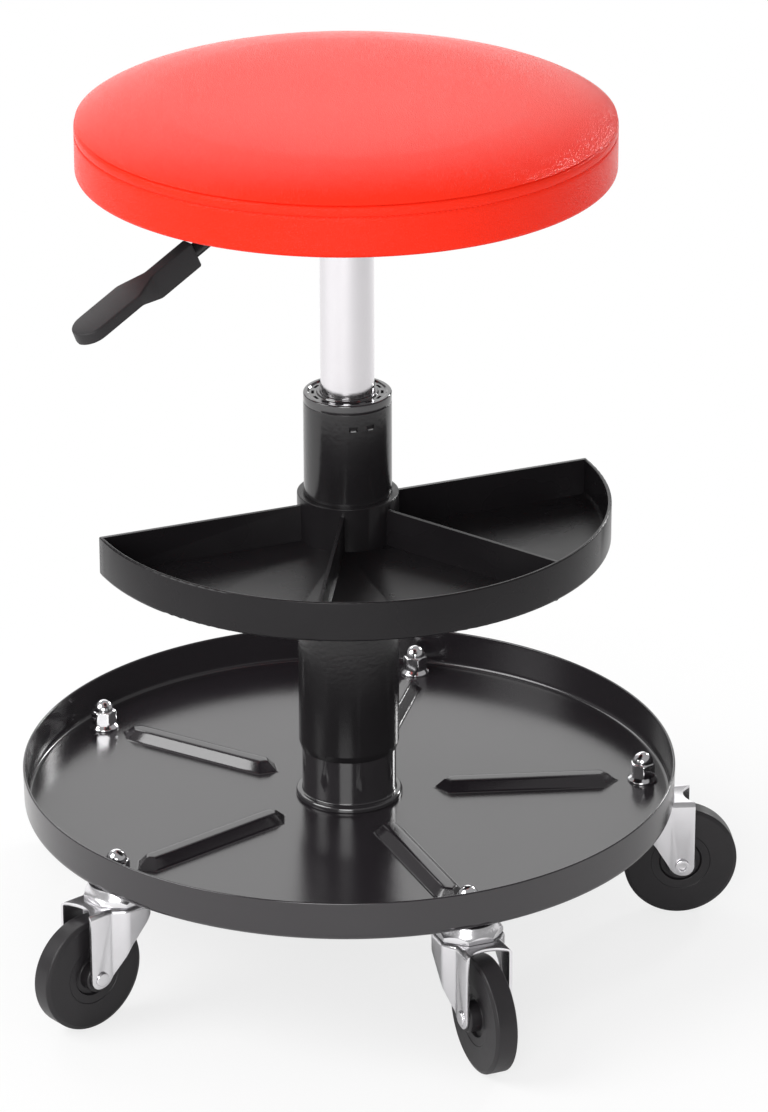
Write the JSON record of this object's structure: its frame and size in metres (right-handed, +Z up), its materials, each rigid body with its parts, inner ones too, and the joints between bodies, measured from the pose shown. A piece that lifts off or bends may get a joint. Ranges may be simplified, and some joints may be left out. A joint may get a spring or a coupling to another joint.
{
  "type": "creeper seat",
  "caption": "Round cushioned stool on a gas spring with a release lever, a half-moon tool tray on its column and a wide rimmed pan on swivel casters.",
  "frame": {"origin": "on the column's axis, on the floor that the wheels stand on", "axes": "+Z up along the column; the front, where the tray hangs out, faces -Y"},
  "size_m": [0.4241, 0.4342, 0.5119],
  "materials": {
    "red_cover": "coated fabric, fine grain, satin",
    "foam": "open foam, matt",
    "plywood": "plain plywood, unfinished",
    "black_cloth": "non-woven cloth, matt",
    "black_steel": "gloss black enamel",
    "pan_grey": "semi-gloss dark grey powder coat",
    "black_gloss_plastic": "gloss black moulding",
    "black_matt_plastic": "fine matt texture",
    "wheel_grey": "satin dark grey moulding",
    "bright_zinc": "bright zinc plate, satin",
    "bare_steel": "plain machined steel",
    "bright_chrome": "bright plate",
    "piston_alloy": "turned",
    "black_rubber": "matt"
  },
  "bodies": {
    "base": {"base_pan": "pan_grey", "base_tube": "black_steel", "hub_flange": "pan_grey", "column_tube": "black_steel", "column_foot": "bare_steel", "column_bushing": "black_matt_plastic", "column_sleeve": "black_gloss_plastic", "bearing_lower_race": "bare_steel", "bearing_balls": "bare_steel", "cap_nuts": "bright_chrome", "swivel_balls": "bare_steel", "caster_stem_1": "bright_zinc", "caster_stem_2": "bright_zinc", "caster_stem_3": "bright_zinc", "caster_stem_4": "bright_zinc", "caster_stem_5": "bright_zinc"},
    "spring_rod": {"piston_rod": "bright_chrome", "piston": "piston_alloy", "rubber_bumper": "black_rubber", "bearing_upper_race": "bare_steel", "rod_clip": "bare_steel"},
    "seat": {"cylinder_tube": "bright_chrome", "cylinder_guide": "black_matt_plastic", "cone_socket": "black_steel", "seat_plate": "black_steel", "lever_bracket": "black_steel", "lever_pivot": "bare_steel", "plate_bolts": "bare_steel", "t_nuts": "bare_steel", "seat_board": "plywood", "seat_foam": "foam", "seat_top_panel": "red_cover", "seat_side_band": "red_cover", "dust_cover": "black_cloth", "cover_staples": "bare_steel"},
    "lever": {"lever_rod": "black_steel", "lever_handle": "black_matt_plastic"},
    "button": {"release_button": "bare_steel"},
    "tray": {"tool_tray": "black_gloss_plastic"},
    "caster_1": {"caster_fork_1": "bright_zinc", "caster_axle_1": "bare_steel", "wheel_bush_1": "bare_steel"},
    "wheel_1": {"caster_wheel_1": "wheel_grey"},
    "caster_2": {"caster_fork_2": "bright_zinc", "caster_axle_2": "bare_steel", "wheel_bush_2": "bare_steel"},
    "wheel_2": {"caster_wheel_2": "wheel_grey"},
    "caster_3": {"caster_fork_3": "bright_zinc", "caster_axle_3": "bare_steel", "wheel_bush_3": "bare_steel"},
    "wheel_3": {"caster_wheel_3": "wheel_grey"},
    "caster_4": {"caster_fork_4": "bright_zinc", "caster_axle_4": "bare_steel", "wheel_bush_4": "bare_steel"},
    "wheel_4": {"caster_wheel_4": "wheel_grey"},
    "caster_5": {"caster_fork_5": "bright_zinc", "caster_axle_5": "bare_steel", "wheel_bush_5": "bare_steel"},
    "wheel_5": {"caster_wheel_5": "wheel_grey"}
  },
  "joints": [
    {"name": "seat_swivel", "type": "hinge", "parent": "base", "child": "spring_rod", "pos_m": [0, 0, 0.07], "axis": [0, 0, 1], "continuous": true},
    {"name": "seat_lift", "type": "slide", "parent": "spring_rod", "child": "seat", "axis": [0, 0, 1], "range_m": [-0.085, 0.01]},
    {"name": "lever_pull", "type": "hinge", "parent": "seat", "child": "lever", "pos_m": [-0.02404, -0.02404, 0.454], "axis": [-0.7071, 0.7071, 0], "range_deg": [0, 5]},
    {"name": "button_press", "type": "slide", "parent": "seat", "child": "button", "axis": [0, 0, 1], "range_m": [-0.003, 0], "stiffness_N_per_m": 2500, "springref_m": 0.002},
    {"name": "tray_swivel", "type": "hinge", "parent": "base", "child": "tray", "pos_m": [0, 0, 0.2449], "axis": [0, 0, 1], "continuous": true},
    {"name": "caster_swivel_1", "type": "hinge", "parent": "base", "child": "caster_1", "pos_m": [0.17083, 0.01401, 0.07], "axis": [0, 0, 1], "continuous": true},
    {"name": "wheel_spin_1", "type": "hinge", "parent": "caster_1", "child": "wheel_1", "pos_m": [0.19335, 0.01586, 0.0333], "axis": [-0.0818, 0.9967, 0], "continuous": true},
    {"name": "caster_swivel_2", "type": "hinge", "parent": "base", "child": "caster_2", "pos_m": [0.03946, 0.1668, 0.07], "axis": [0, 0, 1], "continuous": true},
    {"name": "wheel_spin_2", "type": "hinge", "parent": "caster_2", "child": "wheel_2", "pos_m": [0.04466, 0.18879, 0.0333], "axis": [-0.9731, 0.2302, 0], "continuous": true},
    {"name": "caster_swivel_3", "type": "hinge", "parent": "base", "child": "caster_3", "pos_m": [-0.14644, 0.08907, 0.07], "axis": [0, 0, 1], "continuous": true},
    {"name": "wheel_spin_3", "type": "hinge", "parent": "caster_3", "child": "wheel_3", "pos_m": [-0.16575, 0.10082, 0.0333], "axis": [-0.5197, -0.8544, 0], "continuous": true},
    {"name": "caster_swivel_4", "type": "hinge", "parent": "base", "child": "caster_4", "pos_m": [-0.12996, -0.11175, 0.07], "axis": [0, 0, 1], "continuous": true},
    {"name": "wheel_spin_4", "type": "hinge", "parent": "caster_4", "child": "wheel_4", "pos_m": [-0.1471, -0.12648, 0.0333], "axis": [0.652, -0.7582, 0], "continuous": true},
    {"name": "caster_swivel_5", "type": "hinge", "parent": "base", "child": "caster_5", "pos_m": [0.06612, -0.15813, 0.07], "axis": [0, 0, 1], "continuous": true},
    {"name": "wheel_spin_5", "type": "hinge", "parent": "caster_5", "child": "wheel_5", "pos_m": [0.07483, -0.17899, 0.0333], "axis": [0.9226, 0.3857, 0], "continuous": true}
  ],
  "couplings": [
    {"joint": "button_press", "follows": "lever_pull", "m_per_rad": -0.034}
  ]
}
